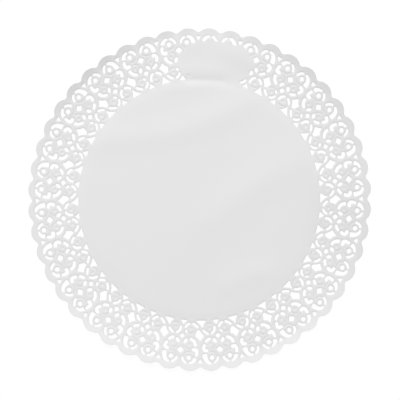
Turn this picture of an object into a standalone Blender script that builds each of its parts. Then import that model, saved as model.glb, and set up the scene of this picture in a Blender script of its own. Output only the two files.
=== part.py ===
"""Round lace doily: one thin die-cut sheet with a plain centre, a band of lace and a scalloped rim.

The sheet lies flat on z = 0 with its centre at the origin and its upper face at +Z.
All sizes are in metres; the tables of the lace repeat are in millimetres.
"""

import math
from collections import namedtuple

import bpy

# Sheet
DOILY_DIAMETER = 0.300
SHEET_THICKNESS = 0.001

# Scalloped rim: convex crests joined by small concave fillets
REPEATS = 24
SCALLOPS = 2 * REPEATS
CREST_RADIUS = 0.0112
VALLEY_RADIUS = 0.0020
CREST_SEGMENTS = 4

# Lace: the first repeat's centre line, counter-clockwise from +X
FIRST_REPEAT_ANGLE = math.radians(7.826)
REPEAT_PITCH = 2 * math.pi / REPEATS

# Bare panel that interrupts the lace near +Y: a rounded block laid along the band
PANEL_ANGLE = math.radians(83.2)
PANEL_MIDDLE = 0.1212
PANEL_HALF_LENGTH = 0.0314
PANEL_HALF_HEIGHT = 0.0179
PANEL_SQUARENESS = 2.3

# Steps along a slot's side and round an eye, and the bow in millimetres from which a side
# of a cornered hole gets a middle point
SLOT_STATIONS = 2
EYE_POINTS = 8
BOWED_SIDE = 0.5

# A short way along a slot, as a share of it, that gives its direction
SHORT_WAY = 0.001

# Halvings that find where a hole's side meets the panel's edge
CROSSING_HALVINGS = 24

MM = 0.001

PAPER_COLOUR = (0.80, 0.80, 0.80, 1.0)
PAPER_ROUGHNESS = 0.75

# One repeat of the lace in millimetres, with the doily's centre at (0, 0), the repeat's
# centre line on +Y and X clockwise. Each row is a hole, and the small gaps around the buds
# and between the petals are left uncut.

# Curved slots: a stroke from start through bend to end, with its width at the three places.
# A cap is how far an end is rounded, over half its width, and a blunt end has none
Slot = namedtuple(
    "Slot",
    "name start_x start_y bend_x bend_y end_x end_y "
    "start_width bend_width end_width start_cap end_cap",
)
SLOTS = (
    Slot("arch_left_outer", -9.4, 142.65, -12.05, 141.1, -13.45, 138.45, 1.9, 2.7, 3.6, 1.0, 0.0),
    Slot("arch_left_inner", -6.0, 142.65, -3.8, 141.15, -2.45, 138.75, 2.0, 2.15, 2.2, 1.0, 1.0),
    Slot("arch_right_inner", 6.15, 142.65, 3.9, 141.15, 2.65, 138.65, 1.95, 2.15, 2.15, 1.0, 1.0),
    Slot("arch_right_outer", 9.45, 142.8, 12.65, 140.4, 13.75, 134.8, 2.1, 3.2, 4.25, 1.0, 0.0),
    Slot("hook_left", -14.4, 135.25, -14.1, 131.25, -11.4, 130.75, 2.6, 3.1, 3.2, 1.0, 1.0),
    Slot("hook_right", 11.6, 131.5, 13.95, 129.95, 13.0, 126.95, 3.1, 2.8, 2.95, 1.0, 1.0),
    Slot("petal_left", -12.6, 127.1, -11.15, 123.75, -8.0, 121.85, 2.95, 2.7, 2.5, 0.0, 1.0),
    Slot("bud_right_side", 4.95, 117.0, 2.75, 114.9, 2.05, 112.0, 2.0, 2.2, 2.15, 1.0, 1.0),
)

# Round eyes inside the two arches
Eye = namedtuple("Eye", "name x y radius")
EYES = (
    Eye("eye_left", -7.87, 138.0, 1.95),
    Eye("eye_right", 7.72, 138.0, 1.90),
)

# Cornered holes: each corner's place and rounding, and how far the side after it bows inwards
Corner = namedtuple("Corner", "x y rounding bow")
DIAMOND = (
    Corner(0.05, 134.8, 0.5, 0.1),
    Corner(-3.2, 131.75, 0.5, 0.1),
    Corner(0.05, 128.75, 0.5, 0.1),
    Corner(3.35, 131.75, 0.5, 0.1),
)

# These two stand on the line between repeats, which is turned onto +Y for them
STAR = (
    Corner(0.1, 124.0, 0.4, 0.25),
    Corner(-3.9, 119.35, 0.5, 0.4),
    Corner(0.6, 113.6, 0.6, 0.0),
    Corner(3.3, 114.7, 0.7, 0.2),
    Corner(4.65, 119.2, 0.5, 0.6),
)
FOOT = (
    Corner(-2.45, 112.8, 0.3, 0.85),
    Corner(-5.6, 105.85, 0.5, -0.1),
    Corner(3.5, 105.85, 0.4, 0.5),
)


def clear_scene():
    for scene_object in list(bpy.data.objects):
        bpy.data.objects.remove(scene_object, do_unlink=True)


def paper_material():
    material = bpy.data.materials.new("doily_paper")
    material.use_nodes = True
    shader = material.node_tree.nodes["Principled BSDF"]
    shader.inputs["Base Color"].default_value = PAPER_COLOUR
    shader.inputs["Roughness"].default_value = PAPER_ROUGHNESS
    shader.inputs["Metallic"].default_value = 0.0
    material.diffuse_color = PAPER_COLOUR
    return material


def turned(points, angle):
    """The points turned counter-clockwise about the doily's centre."""
    cos = math.cos(angle)
    sin = math.sin(angle)
    return [(x * cos - y * sin, x * sin + y * cos) for x, y in points]


def between(first, middle, last, t):
    """A value on the parabola that runs from first through middle to last."""
    control = 2 * middle - (first + last) / 2
    return (1 - t) ** 2 * first + 2 * t * (1 - t) * control + t * t * last


def stroke_at(slot, t):
    """The stroke's middle, its direction and half its width, at a share t of its way."""
    x = between(slot.start_x, slot.bend_x, slot.end_x, t)
    y = between(slot.start_y, slot.bend_y, slot.end_y, t)
    ahead_x = between(slot.start_x, slot.bend_x, slot.end_x, t + SHORT_WAY) - x
    ahead_y = between(slot.start_y, slot.bend_y, slot.end_y, t + SHORT_WAY) - y
    reach = math.hypot(ahead_x, ahead_y)
    half = between(slot.start_width, slot.bend_width, slot.end_width, t) / 2
    return x, y, ahead_x / reach, ahead_y / reach, half


def slot_outline(slot):
    """Both sides of the stroke, and the tip of each rounded end."""
    left = []
    right = []
    for station in range(SLOT_STATIONS + 1):
        x, y, along_x, along_y, half = stroke_at(slot, station / SLOT_STATIONS)
        left.append((x - along_y * half, y + along_x * half))
        right.append((x + along_y * half, y - along_x * half))
    outline = left
    if slot.end_cap > 0:
        x, y, along_x, along_y, half = stroke_at(slot, 1.0)
        cap = slot.end_cap * half
        outline.append((x + along_x * cap, y + along_y * cap))
    outline += reversed(right)
    if slot.start_cap > 0:
        x, y, along_x, along_y, half = stroke_at(slot, 0.0)
        cap = slot.start_cap * half
        outline.append((x - along_x * cap, y - along_y * cap))
    return outline


def eye_outline(eye):
    points = []
    for step in range(EYE_POINTS):
        turn = 2 * math.pi * (step + 0.5) / EYE_POINTS
        points.append((eye.x + eye.radius * math.cos(turn), eye.y + eye.radius * math.sin(turn)))
    return points


def side_point(start, end, middle, distance):
    """A point on the bowed side from start to end; middle is the middle of the whole hole."""
    run_x = end.x - start.x
    run_y = end.y - start.y
    length = math.hypot(run_x, run_y)
    t = distance / length
    inward_x = -run_y / length
    inward_y = run_x / length
    toward_middle = (middle[0] - start.x) * inward_x + (middle[1] - start.y) * inward_y
    bow = math.copysign(4 * t * (1 - t) * start.bow, start.bow * toward_middle)
    return (start.x + run_x * t + inward_x * bow, start.y + run_y * t + inward_y * bow)


def cornered_outline(corners):
    """Each corner cut back along its two sides; a side that bows far gets a middle point."""
    middle_x = sum(corner.x for corner in corners) / len(corners)
    middle_y = sum(corner.y for corner in corners) / len(corners)
    middle = (middle_x, middle_y)
    points = []
    for index, corner in enumerate(corners):
        before = corners[index - 1]
        after = corners[(index + 1) % len(corners)]
        length_before = math.hypot(corner.x - before.x, corner.y - before.y)
        length_after = math.hypot(after.x - corner.x, after.y - corner.y)
        points.append(side_point(before, corner, middle, length_before - corner.rounding))
        points.append(side_point(corner, after, middle, corner.rounding))
        if corner.bow >= BOWED_SIDE:
            points.append(side_point(corner, after, middle, length_after / 2))
    return points


def repeat_holes():
    """The holes of one repeat, on a centre line at +Y."""
    holes = [slot_outline(slot) for slot in SLOTS]
    holes += [eye_outline(eye) for eye in EYES]
    holes.append(cornered_outline(DIAMOND))
    for corners in (STAR, FOOT):
        holes.append(turned(cornered_outline(corners), -REPEAT_PITCH / 2))
    return holes


def in_panel(point):
    """Whether a point of the sheet lies in the bare panel."""
    along, out = turned([point], math.pi / 2 - PANEL_ANGLE)[0]
    u = abs(along) / PANEL_HALF_LENGTH
    v = abs(out - PANEL_MIDDLE) / PANEL_HALF_HEIGHT
    return u ** PANEL_SQUARENESS + v ** PANEL_SQUARENESS < 1


def panel_crossing(inner, outer):
    """Where the line from a point in the panel to a point outside it leaves the panel."""
    for halving in range(CROSSING_HALVINGS):
        middle = ((inner[0] + outer[0]) / 2, (inner[1] + outer[1]) / 2)
        if in_panel(middle):
            inner = middle
        else:
            outer = middle
    return outer


def clear_of_panel(hole):
    """The hole as far as the panel's edge, or nothing where its middle is in the panel."""
    middle_x = sum(x for x, y in hole) / len(hole)
    middle_y = sum(y for x, y in hole) / len(hole)
    if in_panel((middle_x, middle_y)):
        return []
    kept = []
    for index, point in enumerate(hole):
        before = hole[index - 1]
        if in_panel(point) and not in_panel(before):
            kept.append(panel_crossing(point, before))
        if in_panel(before) and not in_panel(point):
            kept.append(panel_crossing(before, point))
        if not in_panel(point):
            kept.append(point)
    return kept


def all_holes():
    """Every hole of the band, in metres."""
    holes = []
    for index in range(REPEATS):
        angle = FIRST_REPEAT_ANGLE + index * REPEAT_PITCH - math.pi / 2
        for outline in repeat_holes():
            placed = [(x * MM, y * MM) for x, y in turned(outline, angle)]
            hole = clear_of_panel(placed)
            if hole:
                holes.append(hole)
    return holes


def rim_outline():
    """Crest arcs joined by fillet points, each scallop worked out from the two radii."""
    half_pitch = math.pi / SCALLOPS
    crest_middle = DOILY_DIAMETER / 2 - CREST_RADIUS
    reach = CREST_RADIUS + VALLEY_RADIUS
    drop = crest_middle * math.sin(half_pitch)
    valley_middle = crest_middle * math.cos(half_pitch) + math.sqrt(reach ** 2 - drop ** 2)
    rise = valley_middle * math.cos(half_pitch) - crest_middle
    half_sweep = math.atan2(valley_middle * math.sin(half_pitch), rise)
    scallop = []
    for step in range(CREST_SEGMENTS + 1):
        sweep = half_sweep * (2 * step / CREST_SEGMENTS - 1)
        x = -CREST_RADIUS * math.sin(sweep)
        y = crest_middle + CREST_RADIUS * math.cos(sweep)
        scallop.append((x, y))
    scallop += turned([(0.0, valley_middle - VALLEY_RADIUS)], half_pitch)
    points = []
    for index in range(SCALLOPS):
        crest_angle = FIRST_REPEAT_ANGLE + (2 * index + 1) * half_pitch
        points += turned(scallop, crest_angle - math.pi / 2)
    return points


def make_sheet(name, outlines, material):
    """A flat curve filled between its outer outline and its holes, standing on z = 0."""
    curve = bpy.data.curves.new(name, "CURVE")
    curve.dimensions = "2D"
    curve.fill_mode = "BOTH"
    curve.extrude = SHEET_THICKNESS / 2
    for outline in outlines:
        spline = curve.splines.new("POLY")
        spline.points.add(len(outline) - 1)
        for spline_point, (x, y) in zip(spline.points, outline):
            spline_point.co = (x, y, 0.0, 1.0)
        spline.use_cyclic_u = True
    curve.materials.append(material)
    sheet = bpy.data.objects.new(name, curve)
    sheet.location.z = SHEET_THICKNESS / 2
    return sheet


def main():
    clear_scene()
    collection = bpy.data.collections.new("lace_doily")
    bpy.context.scene.collection.children.link(collection)
    doily = make_sheet("doily", [rim_outline()] + all_holes(), paper_material())
    collection.objects.link(doily)


if __name__ == "__main__":
    main()
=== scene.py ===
"""Looks of a round lace doily: one die-cut, embossed sheet of white paper on a pale floor.

The sheet is worked out in millimetres, with the doily's centre at (0, 0), and made in metres.
"""

import math
from collections import defaultdict, namedtuple

import bpy
from bpy.props import FloatProperty, FloatVectorProperty, PointerProperty
from bpy.types import Operator, Panel, PropertyGroup
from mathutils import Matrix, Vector
from mathutils.geometry import delaunay_2d_cdt
from mathutils.kdtree import KDTree


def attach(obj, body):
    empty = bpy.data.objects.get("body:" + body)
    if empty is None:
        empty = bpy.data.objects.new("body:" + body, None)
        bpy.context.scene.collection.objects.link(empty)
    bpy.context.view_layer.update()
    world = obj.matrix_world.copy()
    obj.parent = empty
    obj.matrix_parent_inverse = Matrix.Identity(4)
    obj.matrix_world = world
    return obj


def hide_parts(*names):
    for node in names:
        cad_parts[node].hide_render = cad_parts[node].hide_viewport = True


bl_info = {
    "name": "Paper lace doily",
    "version": (1, 0, 0),
    "blender": (4, 5, 0),
    "location": "3D View > Sidebar > Doily",
    "description": "Makes a die-cut, embossed paper doily, and the stage it lies on",
    "category": "Object",
}

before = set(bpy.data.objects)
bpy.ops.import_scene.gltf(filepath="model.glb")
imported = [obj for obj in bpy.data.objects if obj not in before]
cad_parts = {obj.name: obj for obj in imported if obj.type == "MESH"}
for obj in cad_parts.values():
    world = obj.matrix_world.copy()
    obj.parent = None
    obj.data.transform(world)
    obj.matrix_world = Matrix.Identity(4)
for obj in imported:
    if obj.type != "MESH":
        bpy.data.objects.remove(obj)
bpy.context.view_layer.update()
CAD_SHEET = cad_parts["doily"].data

MM = 0.001

# The frame's own radius over the crests, in millimetres
RIM_RADIUS = max(math.hypot(corner.co.x, corner.co.y) for corner in CAD_SHEET.vertices) / MM

# Scalloped rim: convex crests joined by small concave fillets
REPEATS = 24
SCALLOPS = 2 * REPEATS
CREST_RADIUS = 11.2
VALLEY_RADIUS = 3.0
CREST_STEPS = 24
VALLEY_STEPS = 4

# How far the rim is cut off the lace's middle, towards +X
RIM_OFFSET = 0.3

# Lace: the first repeat's centre line, counter-clockwise from +X, and where the band begins
FIRST_REPEAT_ANGLE = math.radians(7.826)
REPEAT_PITCH = 2 * math.pi / REPEATS
BAND_INNER_RADIUS = 104.6

# Bare panel that interrupts the lace near +Y: a rounded block laid along the band
PANEL_ANGLE = math.radians(83.2)
PANEL_MIDDLE = 121.2
PANEL_HALF_LENGTH = 31.4
PANEL_HALF_HEIGHT = 17.9
PANEL_SQUARENESS = 2.3
CROSSING_HALVINGS = 20

# One repeat of the lace in millimetres, with its centre line on +Y and X clockwise. Each
# row of the tables is one hole.

# Curved slots: a stroke from start through bend to end, with its width at the three places.
# A cap is how far an end is rounded, over half its width, and a blunt end has a small one
Slot = namedtuple(
    "Slot",
    "name start_x start_y bend_x bend_y end_x end_y "
    "start_width bend_width end_width start_cap end_cap",
)
SLOTS = (
    Slot("arch_left_outer", -9.4, 142.65, -12.05, 141.1, -13.45, 138.45, 1.9, 2.7, 3.6, 1.0, 0.35),
    Slot("arch_left_inner", -6.0, 142.65, -3.8, 141.15, -2.45, 138.75, 2.0, 2.15, 2.2, 1.0, 1.0),
    Slot("arch_right_inner", 6.15, 142.65, 3.9, 141.15, 2.65, 138.65, 1.95, 2.15, 2.15, 1.0, 1.0),
    Slot("arch_right_outer", 9.45, 142.8, 12.65, 140.4, 13.75, 134.8, 2.1, 3.2, 4.25, 1.0, 0.3),
    Slot("hook_left", -14.4, 135.25, -14.1, 131.25, -11.4, 130.75, 2.6, 3.1, 3.2, 1.0, 1.0),
    Slot("hook_right", 11.6, 131.5, 13.95, 129.95, 13.0, 126.95, 3.1, 2.8, 2.95, 1.0, 1.0),
    Slot("petal_left", -12.6, 127.1, -11.15, 123.75, -8.0, 121.85, 2.95, 2.7, 2.5, 0.3, 1.0),
    Slot("petal_right", 7.8, 121.6, 9.45, 122.25, 10.85, 123.35, 2.35, 2.5, 2.5, 1.0, 1.0),
    Slot("bud_left_top", -3.85, 116.2, -3.3, 115.5, -2.8, 114.9, 1.8, 1.9, 1.8, 1.0, 1.0),
    Slot("bud_left_right", -2.1, 111.8, -3.1, 109.8, -5.05, 108.5, 2.0, 2.0, 1.9, 1.0, 1.0),
    Slot("bud_left_base", -12.4, 111.05, -10.45, 109.4, -8.35, 108.25, 2.0, 2.1, 1.9, 1.0, 1.0),
    Slot("bud_right_side", 4.95, 117.0, 2.75, 114.9, 2.05, 112.0, 2.0, 2.2, 2.15, 1.0, 1.0),
    Slot("bud_right_top", 8.5, 116.95, 10.4, 115.75, 11.85, 113.9, 2.0, 2.1, 2.0, 1.0, 1.0),
)
SLOT_STATIONS = 10
CAP_STEPS = 6

# A cap above this share is a round end, and the power squares off a blunt one
ROUND_CAP = 0.9
BLUNT_POWER = 0.5

# A short way along a slot, as a share of it, that gives its direction
SHORT_WAY = 0.001

# Round and leaning oval holes, the tilt in degrees
Oval = namedtuple("Oval", "name x y half_length half_width tilt")
OVALS = (
    Oval("eye_left", -7.87, 138.0, 1.95, 1.95, 0.0),
    Oval("eye_right", 7.72, 138.0, 1.9, 1.9, 0.0),
    Oval("heart_left", -3.45, 123.8, 2.4, 1.45, 60.0),
    Oval("heart_right", 3.45, 123.65, 2.35, 1.5, -60.0),
)
OVAL_STEPS = 24

# Cornered holes: each corner's place and rounding, and how far the side after it bows inwards
Corner = namedtuple("Corner", "x y rounding bow")
LARGE_DIAMOND = (
    Corner(0.05, 134.8, 0.5, 0.1),
    Corner(-3.2, 131.75, 0.5, 0.1),
    Corner(0.05, 128.75, 0.5, 0.1),
    Corner(3.35, 131.75, 0.5, 0.1),
)
SMALL_DIAMOND = (
    Corner(0.0, 122.1, 0.5, 0.05),
    Corner(-2.55, 119.7, 0.5, 0.05),
    Corner(0.0, 117.15, 0.5, 0.05),
    Corner(2.55, 119.7, 0.5, 0.05),
)
MIDDLE_FOOT = (
    Corner(0.05, 110.1, 0.4, 0.2),
    Corner(-3.1, 105.8, 0.6, 0.0),
    Corner(3.15, 105.8, 0.6, 0.2),
)
CORNER_STEPS = 6
SIDE_STEPS = 4

# These three stand on the line between repeats, which is turned onto +Y for them
ARCH_GAP = (
    Corner(-2.4, 142.9, 0.5, 0.1),
    Corner(0.0, 138.9, 0.5, 0.1),
    Corner(2.4, 142.9, 0.5, 0.0),
)
STAR = (
    Corner(0.1, 124.0, 0.4, 0.25),
    Corner(-3.9, 119.35, 0.5, 0.4),
    Corner(0.6, 113.6, 0.6, 0.0),
    Corner(3.3, 114.7, 0.7, 0.2),
    Corner(4.65, 119.2, 0.5, 0.6),
)
WIDE_FOOT = (
    Corner(-2.45, 112.8, 0.3, 0.85),
    Corner(-5.6, 105.85, 0.5, -0.1),
    Corner(3.5, 105.85, 0.4, 0.5),
)

# Pin-holes at the middles of the buds and petals
PIPS = (
    Oval("pip_petal_left", -7.35, 126.45, 0.34, 0.3, 90.0),
    Oval("pip_petal_right", 7.35, 126.4, 0.34, 0.3, 90.0),
    Oval("pip_bud_left", -6.75, 112.85, 0.34, 0.3, 90.0),
    Oval("pip_bud_right", 6.4, 112.6, 0.34, 0.3, 90.0),
)

# Embossing of one repeat. Round each bud, petal and eye runs a raised ring, and inside it the
# bud or petal is dished down to its pin-hole
Flower = namedtuple("Flower", "x y ring_radius ring_height dish_depth")
FLOWERS = (
    Flower(-7.35, 126.45, 2.7, 0.05, 0.13),
    Flower(7.35, 126.4, 2.7, 0.05, 0.13),
    Flower(-6.75, 112.85, 2.7, 0.05, 0.15),
    Flower(6.4, 112.6, 2.6, 0.05, 0.15),
    Flower(-7.87, 138.0, 3.2, 0.07, 0.0),
    Flower(7.72, 138.0, 3.2, 0.07, 0.0),
)
RING_HALF_WIDTH = 0.9
DISH_RADIUS = 1.05

# How far from its middle a flower is felt
FLOWER_REACH = 4.6

# Pressed lines, each an arc about a point, with its angles in degrees from +X
Groove = namedtuple("Groove", "x y radius middle half_sweep width depth")
GROOVES = (
    Groove(-7.35, 126.45, 4.1, 50.0, 32.0, 0.8, 0.12),
    Groove(7.35, 126.4, 4.2, 134.0, 32.0, 0.8, 0.12),
    Groove(-6.75, 112.85, 4.0, 118.0, 26.0, 0.8, 0.12),
    Groove(6.4, 112.6, 4.1, -90.0, 38.0, 0.8, 0.12),
    Groove(-7.87, 138.0, 4.9, -65.0, 42.0, 0.8, 0.11),
    Groove(7.72, 138.0, 4.8, -118.0, 38.0, 0.8, 0.11),
)

# How much painted shade, in the edge shade colour, the bottom of such a line takes
GROOVE_SHADE = 0.8

# The plain disc stands a little proud, and its border falls to the lace band
DISC_BORDER_WIDTH = 6.0
DISC_BORDER_FALL = 0.1

# From there the sheet rises outwards like a shallow dish, and more steeply in the rim
BAND_SLOPE = 0.02
RIM_SLOPE = 0.03

# The radii between which each slope grows from nothing to its full value
BAND_RAMP = (105.0, 125.0)
RIM_RAMP = (140.0, 148.0)

# Places where it lifts further, or less where a slope is below zero: their bearing and half
# width in degrees round the doily from +X, and what each adds to the two slopes at its middle
Lift = namedtuple("Lift", "bearing half_width band_slope rim_slope")
LIFTS = (
    Lift(42.0, 25.0, 0.06, 0.1),
    Lift(56.0, 16.0, 0.0, 0.06),
    Lift(87.0, 10.0, 0.0, -0.06),
    Lift(130.0, 22.0, 0.03, 0.15),
    Lift(228.0, 12.0, 0.0, 0.05),
    Lift(250.0, 25.0, 0.06, 0.02),
    Lift(300.0, 25.0, 0.0, 0.1),
    Lift(338.0, 20.0, 0.0, -0.06),
)

# Soft waves of the whole sheet: ridges, or troughs where the height is below zero, each a
# bowed line from start through bend to end
Wave = namedtuple("Wave", "start_x start_y bend_x bend_y end_x end_y half_width height")
WAVES = (
    Wave(-90.0, 52.0, -20.0, 60.0, 40.0, 84.0, 12.0, 0.35),
    Wave(6.0, -22.0, 42.0, 8.0, 80.0, 30.0, 16.0, 0.4),
    Wave(20.0, -77.0, 42.0, -67.0, 64.0, -62.0, 10.0, 0.25),
    Wave(-32.0, 99.0, -18.0, 98.0, -4.0, 99.0, 7.0, 0.15),
    Wave(-10.0, 105.0, 10.0, 105.5, 30.0, 102.5, 5.0, -0.12),
    Wave(-12.0, 104.3, 2.0, 104.5, 20.0, 103.5, 2.5, -0.15),
    Wave(-20.0, 113.0, 0.0, 113.0, 20.0, 112.0, 8.0, 0.2),
    Wave(18.0, 129.0, 35.0, 125.0, 52.0, 117.0, 9.0, 0.25),
    Wave(30.0, 142.0, -6.0, 145.5, -44.0, 138.5, 3.0, -0.15),
)

# A wave is a row of round bumps: their spacing and reach, over the wave's half width
WAVE_BUMP_STEP = 0.8
WAVE_REACH = 2.6

# How strongly the rim's own edge and the pin-holes' are pressed and darkened with painted shade,
# against the other cuts', and where a cut's edge is marked between two of its points
RIM_EDGE_SHARE = 0.35
PIP_EDGE_SHARE = 0.2
MARK_WAYS = (0.0, 0.25, 0.5, 0.75)

# Large soft patches of painted shade on the paper, darker to the right; a shade below zero is a
# patch of painted light
LightPatch = namedtuple("LightPatch", "x y half_width shade")
PAINTED_LIGHT_PATCHES = (
    LightPatch(135.0, -15.0, 38.0, 0.06),
    LightPatch(-138.0, 20.0, 30.0, -0.018),
)

# Spacing of the sheet's points: along every cut edge, in a row just inside it and over the
# lace, and how near another point each kind may stand
EDGE_STEP = 0.6
EDGE_ROW = 0.42
EDGE_ROW_STEP = 0.8
LACE_STEP = 1.4
CLEAR_OF_EDGE = 0.33
CLEAR_OF_RELIEF = 0.3
CLEAR_IN_LACE = 0.72

# On the disc the step grows from ring to ring by a share of itself, up to a limit
DISC_STEP_GROWTH = 0.08
DISC_STEP_LIMIT = 4.5

# The least number of points round a hole
FEWEST_STEPS = 8

# Points in a flower's dish, as rings of a radius and a count, and along and across a pressed
# line, where a row is a share of the line's width
FLOWER_RINGS = ((1.05, 8), (1.8, 12))
GROOVE_STEP = 0.65
GROOVE_ROWS = (-1.0, -0.5, 0.0, 0.5, 1.0)

# Side of the cells that sort the points, and how near two points are made one
CELL = 1.0
WELD = 1e-5


def turned(points, angle):
    """The points turned counter-clockwise about the doily's centre."""
    cos = math.cos(angle)
    sin = math.sin(angle)
    return [(x * cos - y * sin, x * sin + y * cos) for x, y in points]


def polar(x, y, radius, angle):
    return x + radius * math.cos(angle), y + radius * math.sin(angle)


def between(first, middle, last, t):
    """A value on the parabola that runs from first through middle to last."""
    control = 2 * middle - (first + last) / 2
    return (1 - t) ** 2 * first + 2 * t * (1 - t) * control + t * t * last


def smooth(t):
    """0 below 0, 1 above 1, and an even ramp with soft ends between."""
    t = min(max(t, 0.0), 1.0)
    return t * t * (3 - 2 * t)


# Outlines of the holes


def stroke_at(slot, t):
    """The stroke's middle, its direction and half its width, at a share t of its way."""
    x = between(slot.start_x, slot.bend_x, slot.end_x, t)
    y = between(slot.start_y, slot.bend_y, slot.end_y, t)
    ahead_x = between(slot.start_x, slot.bend_x, slot.end_x, t + SHORT_WAY) - x
    ahead_y = between(slot.start_y, slot.bend_y, slot.end_y, t + SHORT_WAY) - y
    reach = math.hypot(ahead_x, ahead_y)
    half = between(slot.start_width, slot.bend_width, slot.end_width, t) / 2
    return x, y, ahead_x / reach, ahead_y / reach, half


def cap_points(x, y, along_x, along_y, half, cap):
    """The round or blunt end of a stroke, from its left side to its right."""
    power = 1.0 if cap > ROUND_CAP else BLUNT_POWER
    points = []
    for step in range(1, CAP_STEPS):
        turn = math.pi / 2 - math.pi * step / CAP_STEPS
        ahead = half * cap * math.cos(turn) ** power
        aside = half * math.copysign(abs(math.sin(turn)) ** power, math.sin(turn))
        point_x = x + along_x * ahead - along_y * aside
        point_y = y + along_y * ahead + along_x * aside
        points.append((point_x, point_y))
    return points


def slot_outline(slot):
    left = []
    right = []
    for station in range(SLOT_STATIONS + 1):
        x, y, along_x, along_y, half = stroke_at(slot, station / SLOT_STATIONS)
        left.append((x - along_y * half, y + along_x * half))
        right.append((x + along_y * half, y - along_x * half))
    x, y, along_x, along_y, half = stroke_at(slot, 1.0)
    end = cap_points(x, y, along_x, along_y, half, slot.end_cap)
    x, y, along_x, along_y, half = stroke_at(slot, 0.0)
    start = cap_points(x, y, -along_x, -along_y, half, slot.start_cap)
    return left + end + right[::-1] + start


def oval_outline(oval):
    tilt = math.radians(oval.tilt)
    points = []
    for step in range(OVAL_STEPS):
        turn = 2 * math.pi * step / OVAL_STEPS
        u = oval.half_length * math.cos(turn)
        v = oval.half_width * math.sin(turn)
        x = oval.x + u * math.cos(tilt) - v * math.sin(tilt)
        y = oval.y + u * math.sin(tilt) + v * math.cos(tilt)
        points.append((x, y))
    return points


def side_point(start, end, middle, distance):
    """A point on the bowed side from start to end; middle is the middle of the whole hole."""
    run_x = end.x - start.x
    run_y = end.y - start.y
    length = math.hypot(run_x, run_y)
    t = distance / length
    inward_x = -run_y / length
    inward_y = run_x / length
    toward_middle = (middle[0] - start.x) * inward_x + (middle[1] - start.y) * inward_y
    bow = math.copysign(4 * t * (1 - t) * start.bow, start.bow * toward_middle)
    return (start.x + run_x * t + inward_x * bow, start.y + run_y * t + inward_y * bow)


def cornered_outline(corners):
    """Each corner as an arc that starts two roundings along its sides, and bowed sides between."""
    middle = (
        sum(corner.x for corner in corners) / len(corners),
        sum(corner.y for corner in corners) / len(corners),
    )
    points = []
    for index, corner in enumerate(corners):
        before = corners[index - 1]
        after = corners[(index + 1) % len(corners)]
        length_before = math.hypot(corner.x - before.x, corner.y - before.y)
        length_after = math.hypot(after.x - corner.x, after.y - corner.y)
        first = side_point(before, corner, middle, length_before - 2 * corner.rounding)
        last = side_point(corner, after, middle, 2 * corner.rounding)
        for step in range(CORNER_STEPS + 1):
            t = step / CORNER_STEPS
            x = (1 - t) ** 2 * first[0] + 2 * t * (1 - t) * corner.x + t * t * last[0]
            y = (1 - t) ** 2 * first[1] + 2 * t * (1 - t) * corner.y + t * t * last[1]
            points.append((x, y))
        straight = length_after - 2 * corner.rounding - 2 * after.rounding
        for step in range(1, SIDE_STEPS):
            distance = 2 * corner.rounding + straight * step / SIDE_STEPS
            points.append(side_point(corner, after, middle, distance))
    return points


def repeat_holes():
    """The holes of one repeat, on a centre line at +Y."""
    holes = [slot_outline(slot) for slot in SLOTS]
    holes += [oval_outline(oval) for oval in OVALS]
    for corners in (LARGE_DIAMOND, SMALL_DIAMOND, MIDDLE_FOOT):
        holes.append(cornered_outline(corners))
    for corners in (ARCH_GAP, STAR, WIDE_FOOT):
        holes.append(turned(cornered_outline(corners), -REPEAT_PITCH / 2))
    return holes


def in_panel(point):
    """Whether a point of the sheet lies in the bare panel."""
    along, out = turned([point], math.pi / 2 - PANEL_ANGLE)[0]
    u = abs(along) / PANEL_HALF_LENGTH
    v = abs(out - PANEL_MIDDLE) / PANEL_HALF_HEIGHT
    return u ** PANEL_SQUARENESS + v ** PANEL_SQUARENESS < 1


def panel_crossing(inner, outer):
    """Where the line from a point in the panel to a point outside it leaves the panel."""
    for halving in range(CROSSING_HALVINGS):
        middle = ((inner[0] + outer[0]) / 2, (inner[1] + outer[1]) / 2)
        if in_panel(middle):
            inner = middle
        else:
            outer = middle
    return outer


def clear_of_panel(hole):
    """The hole as far as the panel's edge, or nothing where its middle is in the panel."""
    middle_x = sum(x for x, y in hole) / len(hole)
    middle_y = sum(y for x, y in hole) / len(hole)
    if in_panel((middle_x, middle_y)):
        return []
    kept = []
    for index, point in enumerate(hole):
        before = hole[index - 1]
        if in_panel(point) and not in_panel(before):
            kept.append(panel_crossing(point, before))
        if in_panel(before) and not in_panel(point):
            kept.append(panel_crossing(before, point))
        if not in_panel(point):
            kept.append(point)
    return kept


def repeat_angles():
    """How far the repeat that is drawn on +Y turns to each of its places."""
    return [FIRST_REPEAT_ANGLE + index * REPEAT_PITCH - math.pi / 2 for index in range(REPEATS)]


def in_all_repeats(outlines):
    """The outlines of one repeat in every place, as far as the panel leaves them."""
    holes = []
    for angle in repeat_angles():
        for outline in outlines:
            hole = clear_of_panel(turned(outline, angle))
            if hole:
                holes.append(hole)
    return holes


def all_holes():
    return in_all_repeats(repeat_holes())


def all_pips():
    return in_all_repeats([oval_outline(pip) for pip in PIPS])


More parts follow.
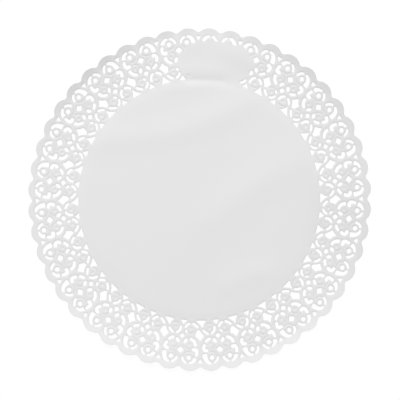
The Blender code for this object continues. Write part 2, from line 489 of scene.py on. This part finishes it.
def rim_outline(rim_radius):
    """Crest arcs joined by fillet arcs, each scallop worked out from the two radii."""
    half_pitch = math.pi / SCALLOPS
    crest_middle = rim_radius - CREST_RADIUS
    reach = CREST_RADIUS + VALLEY_RADIUS
    drop = crest_middle * math.sin(half_pitch)
    valley_middle = crest_middle * math.cos(half_pitch) + math.sqrt(reach ** 2 - drop ** 2)
    rise = valley_middle * math.cos(half_pitch) - crest_middle
    crest_sweep = math.atan2(valley_middle * math.sin(half_pitch), rise)
    valley_sweep = crest_sweep - half_pitch
    crest = []
    for step in range(CREST_STEPS + 1):
        sweep = crest_sweep * (2 * step / CREST_STEPS - 1)
        crest.append(polar(0.0, crest_middle, CREST_RADIUS, math.pi / 2 + sweep))
    valley = []
    for step in range(1, VALLEY_STEPS):
        sweep = valley_sweep * (1 - 2 * step / VALLEY_STEPS)
        valley.append(polar(0.0, valley_middle, VALLEY_RADIUS, -math.pi / 2 + sweep))
    scallop = crest + turned(valley, half_pitch)
    points = []
    for index in range(SCALLOPS):
        crest_angle = FIRST_REPEAT_ANGLE + (2 * index + 1) * half_pitch
        points += turned(scallop, crest_angle - math.pi / 2)
    return [(x + RIM_OFFSET, y) for x, y in points]


def evenly(outline, step):
    """The closed outline with its points at even steps along it."""
    lengths = [math.dist(outline[index - 1], point) for index, point in enumerate(outline)]
    count = max(FEWEST_STEPS, round(sum(lengths) / step))
    spacing = sum(lengths) / count
    points = []
    walked = 0.0
    for index, point in enumerate(outline):
        before = outline[index - 1]
        while len(points) < count and len(points) * spacing <= walked + lengths[index]:
            t = (len(points) * spacing - walked) / lengths[index] if lengths[index] else 0.0
            x = before[0] + (point[0] - before[0]) * t
            y = before[1] + (point[1] - before[1]) * t
            points.append((x, y))
        walked += lengths[index]
    return points


def anticlockwise(outline):
    doubled = 0.0
    for index, (x, y) in enumerate(outline):
        before = outline[index - 1]
        doubled += before[0] * y - x * before[1]
    return outline if doubled > 0 else outline[::-1]


# Points of the sheet


class Ground:
    """Points that keep clear of each other, sorted into square cells."""

    def __init__(self):
        self.points = []
        self.cells = defaultdict(list)

    def mark(self, x, y):
        """Takes the place without making a point there."""
        self.cells[(math.floor(x / CELL), math.floor(y / CELL))].append((x, y))

    def is_free(self, x, y, gap):
        column = math.floor(x / CELL)
        row = math.floor(y / CELL)
        for near_column in (column - 1, column, column + 1):
            for near_row in (row - 1, row, row + 1):
                for other in self.cells.get((near_column, near_row), ()):
                    if math.dist(other, (x, y)) < gap:
                        return False
        return True

    def add(self, x, y, gap=0.0):
        if gap and not self.is_free(x, y, gap):
            return
        self.mark(x, y)
        self.points.append((x, y))


def groove_place(groove, share, offset):
    """A point a share, from -1 to 1, along the groove's arc and offset outwards from it."""
    angle = math.radians(groove.middle + share * groove.half_sweep)
    return polar(groove.x, groove.y, groove.radius + offset, angle)


def add_relief_points(ground):
    """Fine points where the embossing needs them, the same in every repeat."""
    places = []
    for flower in FLOWERS:
        if flower.dish_depth:
            for ring_radius, ring_count in FLOWER_RINGS:
                for step in range(ring_count):
                    turn = 2 * math.pi * step / ring_count
                    places.append(polar(flower.x, flower.y, ring_radius, turn))
    for groove in GROOVES:
        length = 2 * math.radians(groove.half_sweep) * groove.radius
        stations = round(length / GROOVE_STEP)
        for station in range(stations + 1):
            for row in GROOVE_ROWS:
                places.append(groove_place(groove, 2 * station / stations - 1, row * groove.width))
    for angle in repeat_angles():
        for x, y in turned(places, angle):
            if not in_panel((x, y)):
                ground.add(x, y, CLEAR_OF_RELIEF)


def add_edge_rows(ground, outlines):
    """A row of points just inside the paper along every cut edge."""
    for number, outline in enumerate(outlines):
        inward = EDGE_ROW if number == 0 else -EDGE_ROW
        row = evenly(outline, EDGE_ROW_STEP)
        for index, (x, y) in enumerate(row):
            before = row[index - 1]
            after = row[(index + 1) % len(row)]
            run_x = after[0] - before[0]
            run_y = after[1] - before[1]
            reach = math.hypot(run_x, run_y)
            ground.add(x - inward * run_y / reach, y + inward * run_x / reach, CLEAR_OF_EDGE)


def add_fill(ground, rim_radius):
    """Rings of points: close in the lace band, and wider and wider towards the centre."""
    radius = rim_radius
    step = LACE_STEP
    ring = 0
    while radius > step:
        count = REPEATS * max(1, round(2 * math.pi * radius / step / REPEATS))
        gap = CLEAR_IN_LACE * step / LACE_STEP
        for index in range(count):
            x, y = polar(0.0, 0.0, radius, 2 * math.pi * (index + ring % 2 / 2) / count)
            ground.add(x, y, min(gap, CELL))
        if radius < BAND_INNER_RADIUS:
            step = min(step * (1 + DISC_STEP_GROWTH), DISC_STEP_LIMIT)
        radius -= step * math.sqrt(3) / 2
        ring += 1
    ground.add(0.0, 0.0)


def sheet_outlines(rim_radius):
    """The rim and then every hole, each anticlockwise with its points at even steps."""
    outlines = [rim_outline(rim_radius)] + all_holes() + all_pips()
    return [anticlockwise(evenly(outline, EDGE_STEP)) for outline in outlines]


def flat_sheet(outlines, rim_radius):
    """The points and triangles of the sheet laid flat, with its holes left open."""
    ground = Ground()
    loops = []
    for outline in outlines:
        first = len(ground.points)
        for index, (x, y) in enumerate(outline):
            before = outline[index - 1]
            ground.add(x, y)
            ground.mark((x + before[0]) / 2, (y + before[1]) / 2)
        loops.append(list(range(first, len(ground.points))))
    add_relief_points(ground)
    add_edge_rows(ground, outlines)
    add_fill(ground, rim_radius)
    flat = [Vector(point) for point in ground.points]
    points, edges, faces, from_points, from_edges, from_faces = delaunay_2d_cdt(
        flat, [], loops, 1, WELD, True
    )
    paper = [face for face, sources in zip(faces, from_faces) if list(sources) == [0]]
    used = sorted({index for face in paper for index in face})
    place = {index: number for number, index in enumerate(used)}
    return (
        [(points[index].x, points[index].y) for index in used],
        [[place[index] for index in face] for face in paper],
    )


# Heights of the sheet, all in millimetres


def point_tree(points):
    tree = KDTree(len(points))
    for index, (x, y) in enumerate(points):
        tree.insert((x, y, 0.0), index)
    tree.balance()
    return tree


# Its result sets how far the paper is pressed down at the cuts and how much painted shade it takes
# there
def near_edge(points, outlines, width):
    """For each point, 1 on a cut edge and 0 at a width from it. Cuts on both sides add up.

    The first outline is the rim, and a pin-hole is known by having the fewest steps.
    """
    marks = []
    numbers = []
    shares = []
    for number, outline in enumerate(outlines):
        share = 1.0
        if number == 0:
            share = RIM_EDGE_SHARE
        if len(outline) == FEWEST_STEPS:
            share = PIP_EDGE_SHARE
        shares.append(share)
        for index, (x, y) in enumerate(outline):
            before = outline[index - 1]
            for way in MARK_WAYS:
                marks.append((x + (before[0] - x) * way, y + (before[1] - y) * way))
                numbers.append(number)
    tree = point_tree(marks)
    edges = []
    for x, y in points:
        gaps = {}
        for place, mark, gap in tree.find_range((x, y, 0.0), width):
            gaps[numbers[mark]] = min(gap, gaps.get(numbers[mark], width))
        press = sum(shares[number] * (1 - gap / width) ** 2 for number, gap in gaps.items())
        edges.append(min(1.0, press))
    return edges


def groove_gap(groove, x, y):
    """How far a point of the repeat is from the groove's line."""
    middle = math.radians(groove.middle)
    turn = math.atan2(y - groove.y, x - groove.x) - middle
    turn = (turn + math.pi) % (2 * math.pi) - math.pi
    sweep = math.radians(groove.half_sweep)
    turn = min(max(turn, -sweep), sweep)
    return math.dist((x, y), polar(groove.x, groove.y, groove.radius, middle + turn))


def flower_rise(flower, gap):
    """A flower's height at a gap from its middle: the dished middle and the raised ring."""
    dish = flower.dish_depth * math.exp(-((gap / DISH_RADIUS) ** 2))
    ring = math.exp(-(((gap - flower.ring_radius) / RING_HALF_WIDTH) ** 2))
    return flower.ring_height * ring - dish


def emboss(tree, points, heights, shades, relief):
    """Presses the flowers and grooves of every repeat into the heights, and paints shade along the
    grooves.
    """
    for angle in repeat_angles():
        for flower in FLOWERS:
            x, y = turned([(flower.x, flower.y)], angle)[0]
            for place, index, gap in tree.find_range((x, y, 0.0), FLOWER_REACH):
                if not in_panel(points[index]):
                    heights[index] += relief * flower_rise(flower, gap)
        for groove in GROOVES:
            x, y = turned([(groove.x, groove.y)], angle)[0]
            for place, index, gap in tree.find_range((x, y, 0.0), groove.radius + groove.width):
                if not in_panel(points[index]):
                    own = turned([points[index]], -angle)[0]
                    depth = 1 - smooth(groove_gap(groove, *own) / groove.width)
                    heights[index] -= relief * groove.depth * depth
                    # Painted shade in the pressed line, darkest at its bottom
                    shades[index] = max(shades[index], GROOVE_SHADE * depth)


def slopes_at(bearing):
    """The band's slope, and what the rim adds to it, at a bearing in degrees."""
    band = BAND_SLOPE
    rim = RIM_SLOPE
    for lift in LIFTS:
        gap = (bearing - lift.bearing + 180) % 360 - 180
        share = math.exp(-((gap / lift.half_width) ** 2))
        band += lift.band_slope * share
        rim += lift.rim_slope * share
    return band, rim


def ramp_way(radius, ramp):
    """The rise at a radius for a slope that grows from 0 to 1 over the ramp and then stays."""
    start, end = ramp
    if radius < start:
        return 0.0
    if radius < end:
        return (radius - start) ** 2 / (2 * (end - start))
    return radius - (start + end) / 2


def wave_bumps(wave):
    """The round bumps, in a row along the wave's line, that add up to the wave."""
    length = math.dist((wave.start_x, wave.start_y), (wave.end_x, wave.end_y))
    count = max(1, round(length / (WAVE_BUMP_STEP * wave.half_width)))
    bump_height = wave.height * length / count / (wave.half_width * math.sqrt(math.pi))
    bumps = []
    for step in range(count + 1):
        x = between(wave.start_x, wave.bend_x, wave.end_x, step / count)
        y = between(wave.start_y, wave.bend_y, wave.end_y, step / count)
        bumps.append((x, y, bump_height))
    return bumps


def add_waves(tree, heights):
    for wave in WAVES:
        for x, y, bump_height in wave_bumps(wave):
            for place, index, gap in tree.find_range((x, y, 0.0), WAVE_REACH * wave.half_width):
                heights[index] += bump_height * math.exp(-((gap / wave.half_width) ** 2))


def dish_rise(x, y, rim_lift):
    """The disc's falling border, and the band and rim that rise outwards from it."""
    radius = math.hypot(x, y)
    fall = DISC_BORDER_FALL * smooth(1 + (radius - BAND_INNER_RADIUS) / DISC_BORDER_WIDTH)
    band_slope, rim_slope = slopes_at(math.degrees(math.atan2(y, x)))
    band = band_slope * ramp_way(radius, BAND_RAMP)
    rim = rim_slope * ramp_way(radius, RIM_RAMP)
    return rim_lift * (band + rim) - fall


def painted_light_tones(points):
    """For each point, the share of the paper's colour that the patches of painted light and shade
    leave.
    """
    tones = []
    for point in points:
        tone = 1.0
        for light_patch in PAINTED_LIGHT_PATCHES:
            gap = math.dist(point, (light_patch.x, light_patch.y))
            tone -= light_patch.shade * math.exp(-((gap / light_patch.half_width) ** 2))
        tones.append(tone)
    return tones


def sheet_heights(points, edges, sizes):
    """Each point's height, and how much painted shade, in the edge shade colour, it takes."""
    press = sizes.edge_press / MM
    heights = []
    for (x, y), edge in zip(points, edges):
        heights.append(dish_rise(x, y, sizes.rim_lift) - press * edge)
    # Painted shade along the cut edges, as strong as their press
    shades = list(edges)
    tree = point_tree(points)
    add_waves(tree, heights)
    emboss(tree, points, heights, shades, sizes.relief)
    return heights, shades


# Materials

# The paper's and the floor's grains, each a noise with its scale to a metre and its detail
Grain = namedtuple("Grain", "scale detail")
CLOUD_GRAIN = Grain(45.0, 3.0)
GLOSS_GRAIN = Grain(900.0, 4.0)
FELT_GRAIN = Grain(550.0, 2.0)
FIBRE_GRAIN = Grain(3200.0, 6.0)
FLOOR_GRAIN = Grain(6.0, 2.0)

# How far the gloss varies, how strongly felt and fibres show, and the felt's depth against
# the fibres'
GLOSS_SPREAD = 0.08
FELT_STRENGTH = 0.35
FIBRE_STRENGTH = 0.4
FELT_DEPTHS = 3.0
PAPER_SHINE = 0.25
FLOOR_SHADE = 0.99
FLOOR_ROUGHNESS = 0.9
WHITE = (1.0, 1.0, 1.0, 1.0)


def opaque(colour, shade=1.0):
    """The colour, darkened to a share of itself, with full alpha."""
    return [channel * shade for channel in colour] + [1.0]


def new_material(name):
    """A material with an empty Principled surface, its nodes, and their links."""
    material = bpy.data.materials.new(name)
    material.use_nodes = True
    nodes = material.node_tree.nodes
    return material, nodes, material.node_tree.links, nodes["Principled BSDF"]


def noise(nodes, links, coordinates, grain):
    texture = nodes.new("ShaderNodeTexNoise")
    texture.inputs["Scale"].default_value = grain.scale
    texture.inputs["Detail"].default_value = grain.detail
    links.new(coordinates, texture.inputs["Vector"])
    return texture.outputs["Fac"]


def paper_material(finish):
    """White embossing paper: faint clouds, felt and fibres, painted shade along the cut edges and
    pressed lines, and broad patches of painted light and shade.
    """
    material, nodes, links, shader = new_material("doily_paper")
    coordinates = nodes.new("ShaderNodeTexCoord").outputs["Object"]
    edge = nodes.new("ShaderNodeAttribute")
    edge.attribute_name = "edge"

    clouds = nodes.new("ShaderNodeMix")
    clouds.data_type = "RGBA"
    clouds.inputs["A"].default_value = opaque(finish.colour, finish.cloud_shade)
    clouds.inputs["B"].default_value = opaque(finish.colour)
    links.new(noise(nodes, links, coordinates, CLOUD_GRAIN), clouds.inputs["Factor"])

    # Patches of painted light and shade multiply the paper's colour
    light_patch = nodes.new("ShaderNodeAttribute")
    light_patch.attribute_name = "light_patch"
    patch_shaded = nodes.new("ShaderNodeMix")
    patch_shaded.data_type = "RGBA"
    patch_shaded.blend_type = "MULTIPLY"
    patch_shaded.inputs["Factor"].default_value = 1.0
    links.new(clouds.outputs["Result"], patch_shaded.inputs["A"])
    links.new(light_patch.outputs["Fac"], patch_shaded.inputs["B"])

    # Painted shade: the edge attribute darkens the paper towards the edge shade colour along the
    # cuts and in the pressed lines
    painted_edge_shade = nodes.new("ShaderNodeMix")
    painted_edge_shade.data_type = "RGBA"
    painted_edge_shade.inputs["B"].default_value = opaque(finish.edge_shade_colour)
    links.new(edge.outputs["Fac"], painted_edge_shade.inputs["Factor"])
    links.new(patch_shaded.outputs["Result"], painted_edge_shade.inputs["A"])
    links.new(painted_edge_shade.outputs["Result"], shader.inputs["Base Color"])

    gloss = nodes.new("ShaderNodeMapRange")
    gloss.inputs["To Min"].default_value = finish.roughness - GLOSS_SPREAD
    gloss.inputs["To Max"].default_value = finish.roughness + GLOSS_SPREAD
    links.new(noise(nodes, links, coordinates, GLOSS_GRAIN), gloss.inputs["Value"])
    links.new(gloss.outputs["Result"], shader.inputs["Roughness"])

    felt = nodes.new("ShaderNodeBump")
    felt.inputs["Strength"].default_value = FELT_STRENGTH
    felt.inputs["Distance"].default_value = finish.fibre_depth * FELT_DEPTHS
    links.new(noise(nodes, links, coordinates, FELT_GRAIN), felt.inputs["Height"])
    fibre = nodes.new("ShaderNodeBump")
    fibre.inputs["Strength"].default_value = FIBRE_STRENGTH
    fibre.inputs["Distance"].default_value = finish.fibre_depth
    links.new(noise(nodes, links, coordinates, FIBRE_GRAIN), fibre.inputs["Height"])
    links.new(felt.outputs["Normal"], fibre.inputs["Normal"])
    links.new(fibre.outputs["Normal"], shader.inputs["Normal"])
    shader.inputs["Specular IOR Level"].default_value = PAPER_SHINE
    material.diffuse_color = opaque(finish.colour)
    return material


def floor_material(stage):
    material, nodes, links, shader = new_material("stage_floor")
    coordinates = nodes.new("ShaderNodeTexCoord").outputs["Object"]
    tone = nodes.new("ShaderNodeMix")
    tone.data_type = "RGBA"
    tone.inputs["A"].default_value = opaque(stage.floor_colour, FLOOR_SHADE)
    tone.inputs["B"].default_value = opaque(stage.floor_colour)
    links.new(noise(nodes, links, coordinates, FLOOR_GRAIN), tone.inputs["Factor"])
    links.new(tone.outputs["Result"], shader.inputs["Base Color"])
    shader.inputs["Roughness"].default_value = FLOOR_ROUGHNESS
    shader.inputs["Specular IOR Level"].default_value = 0.0
    shader.inputs["Emission Color"].default_value = WHITE
    shader.inputs["Emission Strength"].default_value = stage.floor_glow
    return material


# Settings


class DoilySheetSizes(PropertyGroup):
    thickness: FloatProperty(
        name="Thickness",
        description="Thickness of the paper",
        default=0.00022,
        min=0.0001,
        max=0.001,
        precision=5,
        unit="LENGTH",
        subtype="DISTANCE",
    )
    edge_press: FloatProperty(
        name="Edge press",
        description="How far the paper is pressed down at a cut edge",
        default=0.000105,
        min=0.0,
        max=0.0005,
        precision=5,
        unit="LENGTH",
        subtype="DISTANCE",
    )
    edge_width: FloatProperty(
        name="Edge width",
        description="Width of the pressed border along a cut edge",
        default=0.0009,
        min=0.0002,
        max=0.003,
        precision=5,
        unit="LENGTH",
        subtype="DISTANCE",
    )
    relief: FloatProperty(
        name="Embossing",
        description="Strength of the embossed rings, dishes and pressed lines",
        default=1.0,
        min=0.0,
        max=1.5,
        subtype="FACTOR",
    )
    rim_lift: FloatProperty(
        name="Rim lift",
        description="How far the lace band and the scalloped rim turn up",
        default=1.0,
        min=0.0,
        max=1.5,
        subtype="FACTOR",
    )


class DoilyPaperFinish(PropertyGroup):
    colour: FloatVectorProperty(
        name="Paper colour",
        description="Colour of the paper",
        default=(0.83, 0.83, 0.83),
        min=0.0,
        max=1.0,
        subtype="COLOR",
    )
    # Painted shade laid along the cut edges and in the pressed lines
    edge_shade_colour: FloatVectorProperty(
        name="Edge colour",
        description="Colour of the pressed border along the cuts",
        default=(0.75, 0.75, 0.75),
        min=0.0,
        max=1.0,
        subtype="COLOR",
    )
    cloud_shade: FloatProperty(
        name="Clouds",
        description="Tone of the paper's thinner places, against its colour",
        default=0.985,
        min=0.9,
        max=1.0,
        subtype="FACTOR",
    )
    roughness: FloatProperty(
        name="Roughness",
        description="Roughness of the paper",
        default=0.72,
        min=0.2,
        max=0.9,
        subtype="FACTOR",
    )
    fibre_depth: FloatProperty(
        name="Fibre depth",
        description="Depth of the fibres on the paper's face",
        default=0.00002,
        min=0.0,
        max=0.0002,
        precision=6,
        unit="LENGTH",
        subtype="DISTANCE",
    )


class DoilyStage(PropertyGroup):
    floor_colour: FloatVectorProperty(
        name="Floor colour",
        description="Colour of the floor",
        default=(0.06, 0.06, 0.06),
        min=0.0,
        max=1.0,
        subtype="COLOR",
    )
    floor_glow: FloatProperty(
        name="Floor glow",
        description="Light that comes up through the pale floor",
        default=0.954,
        min=0.0,
        max=2.0,
    )
    floor_size: FloatProperty(
        name="Floor size",
        description="Side of the square floor",
        default=12.0,
        min=1.0,
        unit="LENGTH",
        subtype="DISTANCE",
    )
    key_power: FloatProperty(
        name="Key power",
        description="Power of the large soft key light",
        default=781.0,
        min=0.0,
        unit="POWER",
    )
    sky_strength: FloatProperty(
        name="Sky",
        description="Strength of the even light from all round",
        default=0.26,
        min=0.0,
    )
    view_width: FloatProperty(
        name="View width",
        description="Width of the floor that the camera sees",
        default=0.34960,
        min=0.1,
        unit="LENGTH",
        subtype="DISTANCE",
    )
    camera_height: FloatProperty(
        name="Camera height",
        description="Height of the camera above the floor",
        default=3.0,
        min=0.2,
        unit="LENGTH",
        subtype="DISTANCE",
    )


# Placing of the light, and of the camera, which stands a little off the doily's middle
KEY_BEARING = math.radians(102.5)
KEY_ELEVATION = math.radians(36.0)
KEY_DISTANCE = 8.0
KEY_SIZE = 3.8
CAMERA_X = 0.00065
CAMERA_Y = -0.00034


# Operators

# Faces that meet at less than this are shaded as one
SMOOTH_ANGLE = math.radians(40.0)


def clear_selection():
    bpy.ops.object.select_all(action="DESELECT")


def add_attribute(mesh, name, values):
    """A value for each point of the mesh, for its material to read."""
    mesh.attributes.new(name, "FLOAT", "POINT").data.foreach_set("value", values)


def face_area(points, face):
    """The area of one flat triangle."""
    (ax, ay), (bx, by), (cx, cy) = [points[index] for index in face]
    return abs((bx - ax) * (cy - ay) - (cx - ax) * (by - ay)) / 2


class DOILY_OT_sheet(Operator):
    """Make the embossed paper sheet that stands for the flat one of the frame"""

    bl_idname = "doily.sheet"
    bl_label = "Paper sheet"

    def execute(self, context):
        sizes = context.scene.doily_sheet
        outlines = sheet_outlines(RIM_RADIUS)
        points, faces = flat_sheet(outlines, RIM_RADIUS)
        edges = near_edge(points, outlines, sizes.edge_width / MM)
        heights, shades = sheet_heights(points, edges, sizes)
        ground = sizes.thickness / MM - min(heights)
        mesh = bpy.data.meshes.new("paper_sheet")
        corners = [(x * MM, y * MM, (z + ground) * MM) for (x, y), z in zip(points, heights)]
        mesh.from_pydata(corners, [], faces)
        # Painted shade along the cut edges and in the pressed lines, for the material
        add_attribute(mesh, "edge", shades)
        # Patches of painted light and shade, for the material
        add_attribute(mesh, "light_patch", painted_light_tones(points))
        mesh.materials.append(paper_material(context.scene.doily_finish))
        sheet = bpy.data.objects.new("paper_sheet", mesh)
        context.collection.objects.link(sheet)
        clear_selection()
        sheet.select_set(True)
        context.view_layer.objects.active = sheet
        wall = sheet.modifiers.new("paper", "SOLIDIFY")
        wall.thickness = sizes.thickness
        wall.offset = -1.0
        bpy.ops.object.modifier_apply(modifier=wall.name)
        bpy.ops.object.shade_smooth_by_angle(angle=SMOOTH_ANGLE)
        if len(mesh.polygons) < len(faces):
            raise RuntimeError("the sheet lost faces")
        area = sum(face_area(points, face) for face in faces) * MM * MM
        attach(sheet, "root")
        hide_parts("doily")
        return {"FINISHED"}


class DOILY_OT_stage(Operator):
    """Make the pale floor, the soft light and the camera above"""

    bl_idname = "doily.stage"
    bl_label = "Floor, light and camera"

    def execute(self, context):
        stage = context.scene.doily_stage
        clear_selection()
        bpy.ops.mesh.primitive_plane_add(size=stage.floor_size, location=(0.0, 0.0, 0.0))
        floor = context.active_object
        floor.name = "stage_floor"
        floor.data.materials.append(floor_material(stage))

        toward = Vector((
            math.cos(KEY_BEARING) * math.cos(KEY_ELEVATION),
            math.sin(KEY_BEARING) * math.cos(KEY_ELEVATION),
            math.sin(KEY_ELEVATION),
        ))
        bpy.ops.object.light_add(type="AREA", location=toward * KEY_DISTANCE)
        key = context.active_object
        key.name = "key_light"
        key.rotation_euler = toward.to_track_quat("Z", "Y").to_euler()
        key.data.shape = "DISK"
        key.data.size = KEY_SIZE
        key.data.energy = stage.key_power

        world = bpy.data.worlds.new("soft_sky")
        world.use_nodes = True
        sky = world.node_tree.nodes["Background"]
        sky.inputs["Color"].default_value = WHITE
        sky.inputs["Strength"].default_value = stage.sky_strength
        context.scene.world = world
        context.scene.view_settings.view_transform = "Standard"

        bpy.ops.object.camera_add(location=(CAMERA_X, CAMERA_Y, stage.camera_height))
        camera = context.active_object
        camera.rotation_euler = (0.0, 0.0, 0.0)
        camera.data.lens = camera.data.sensor_width * stage.camera_height / stage.view_width
        context.scene.camera = camera
        return {"FINISHED"}


class DOILY_PT_sidebar(Panel):
    """Settings and steps of the doily"""

    bl_idname = "DOILY_PT_sidebar"
    bl_label = "Paper lace doily"
    bl_space_type = "VIEW_3D"
    bl_region_type = "UI"
    bl_category = "Doily"

    def draw(self, context):
        scene = context.scene
        for group in (scene.doily_sheet, scene.doily_finish, scene.doily_stage):
            box = self.layout.box()
            for name in group.__annotations__:
                box.prop(group, name)
        for operator in (DOILY_OT_sheet, DOILY_OT_stage):
            self.layout.operator(operator.bl_idname)


CLASSES = (
    DoilySheetSizes,
    DoilyPaperFinish,
    DoilyStage,
    DOILY_OT_sheet,
    DOILY_OT_stage,
    DOILY_PT_sidebar,
)


def register():
    for added in CLASSES:
        bpy.utils.register_class(added)
    bpy.types.Scene.doily_sheet = PointerProperty(type=DoilySheetSizes)
    bpy.types.Scene.doily_finish = PointerProperty(type=DoilyPaperFinish)
    bpy.types.Scene.doily_stage = PointerProperty(type=DoilyStage)


def unregister():
    del bpy.types.Scene.doily_stage
    del bpy.types.Scene.doily_finish
    del bpy.types.Scene.doily_sheet
    for added in reversed(CLASSES):
        bpy.utils.unregister_class(added)


def main():
    register()
    bpy.ops.doily.sheet()
    bpy.ops.doily.stage()


if __name__ == "__main__":
    main()
